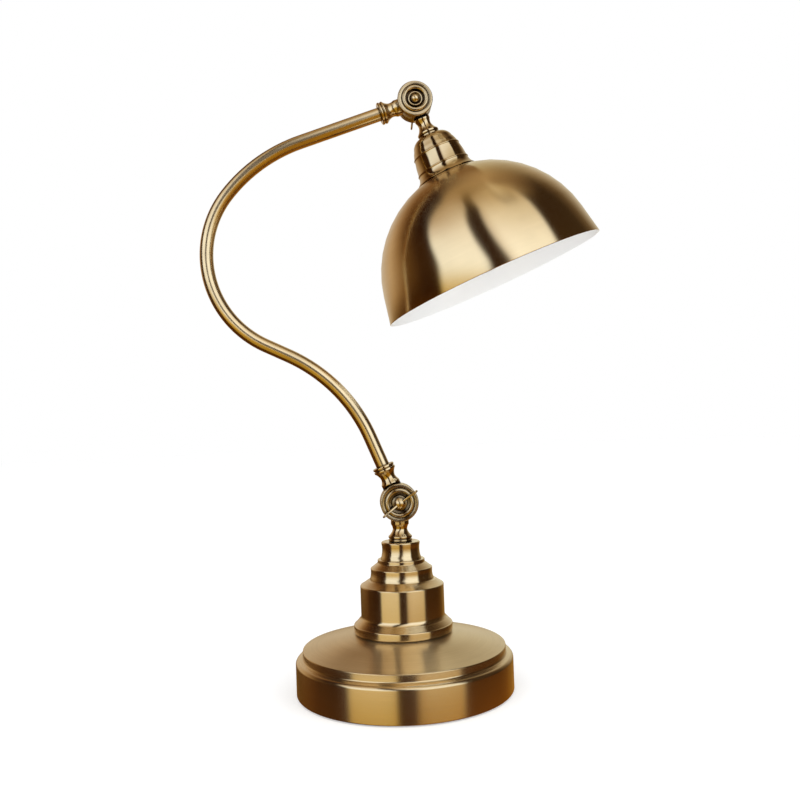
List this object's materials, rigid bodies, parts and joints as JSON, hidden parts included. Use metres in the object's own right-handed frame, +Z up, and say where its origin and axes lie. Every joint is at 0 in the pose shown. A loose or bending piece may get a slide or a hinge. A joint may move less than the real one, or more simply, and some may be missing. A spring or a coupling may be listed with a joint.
{
  "type": "dome shade desk lamp",
  "caption": "Desk lamp with a hemispherical shade on a tilting knuckle, a swan-necked tube arm on a second knuckle, and a stepped pedestal on a heavy round base.",
  "frame": {"origin": "centre of the base's underside, on the surface that the lamp stands on", "axes": "+Z up; +X towards the side that the shade hangs over, with the arm in the XZ plane; +Y towards the back, where the lead goes in"},
  "size_m": [0.3496, 0.1998, 0.5343],
  "materials": {
    "antique_brass": "antique brass, finely brushed and lacquered",
    "zinc_steel": "zinc-plated threads and nuts",
    "cast_weight": "as cast, painted black",
    "felt": "black felt",
    "fibre": "matt fibre",
    "holder_plastic": "moulded black",
    "contact_block_white": "glazed off-white",
    "contact_metal": "bright",
    "bulb_metal": "bright",
    "bulb_frost": "frosted"
  },
  "bodies": {
    "base": {"base_cover": "antique_brass", "base_weight": "cast_weight", "base_pad": "felt", "pedestal_column": "antique_brass", "pedestal_shoulder": "antique_brass", "pedestal_cap": "antique_brass", "base_nipple": "zinc_steel", "base_washer": "zinc_steel", "base_nut": "zinc_steel", "inlet_bush": "holder_plastic", "base_stud": "antique_brass", "lower_washer": "fibre"},
    "arm": {"arm_foot": "antique_brass", "arm_tube": "antique_brass", "arm_tip": "antique_brass", "lower_cap_nut": "antique_brass", "upper_cap_nut": "antique_brass", "upper_washer": "fibre"},
    "head": {"shade_neck": "antique_brass", "socket_cup": "antique_brass", "head_nipple": "zinc_steel", "head_nut": "zinc_steel", "holder_cap": "holder_plastic", "holder_body": "holder_plastic", "contact_block": "contact_block_white", "centre_contact": "contact_metal", "screw_shell": "contact_metal", "shade_ring": "holder_plastic", "shade": "antique_brass", "bulb_cap": "bulb_metal", "bulb_contact": "contact_metal", "bulb_glass": "bulb_frost"},
    "lower_screw": {"lower_wing_screw": "antique_brass"},
    "upper_screw": {"upper_wing_screw": "antique_brass"}
  },
  "joints": [
    {"name": "arm_tilt", "type": "hinge", "parent": "base", "child": "arm", "pos_m": [0, 0, 0.1626], "axis": [0, 1, 0], "range_deg": [-30, 35]},
    {"name": "shade_tilt", "type": "hinge", "parent": "arm", "child": "head", "pos_m": [0.02607, 0, 0.51562], "axis": [0, 1, 0], "range_deg": [-60, 40]},
    {"name": "lower_screw_turn", "type": "hinge", "parent": "base", "child": "lower_screw", "pos_m": [0, 0, 0.1626], "axis": [0, -1, 0], "range_deg": [0, 360]},
    {"name": "upper_screw_turn", "type": "hinge", "parent": "arm", "child": "upper_screw", "pos_m": [0.02607, 0, 0.51562], "axis": [0, 1, 0], "range_deg": [0, 360]}
  ]
}
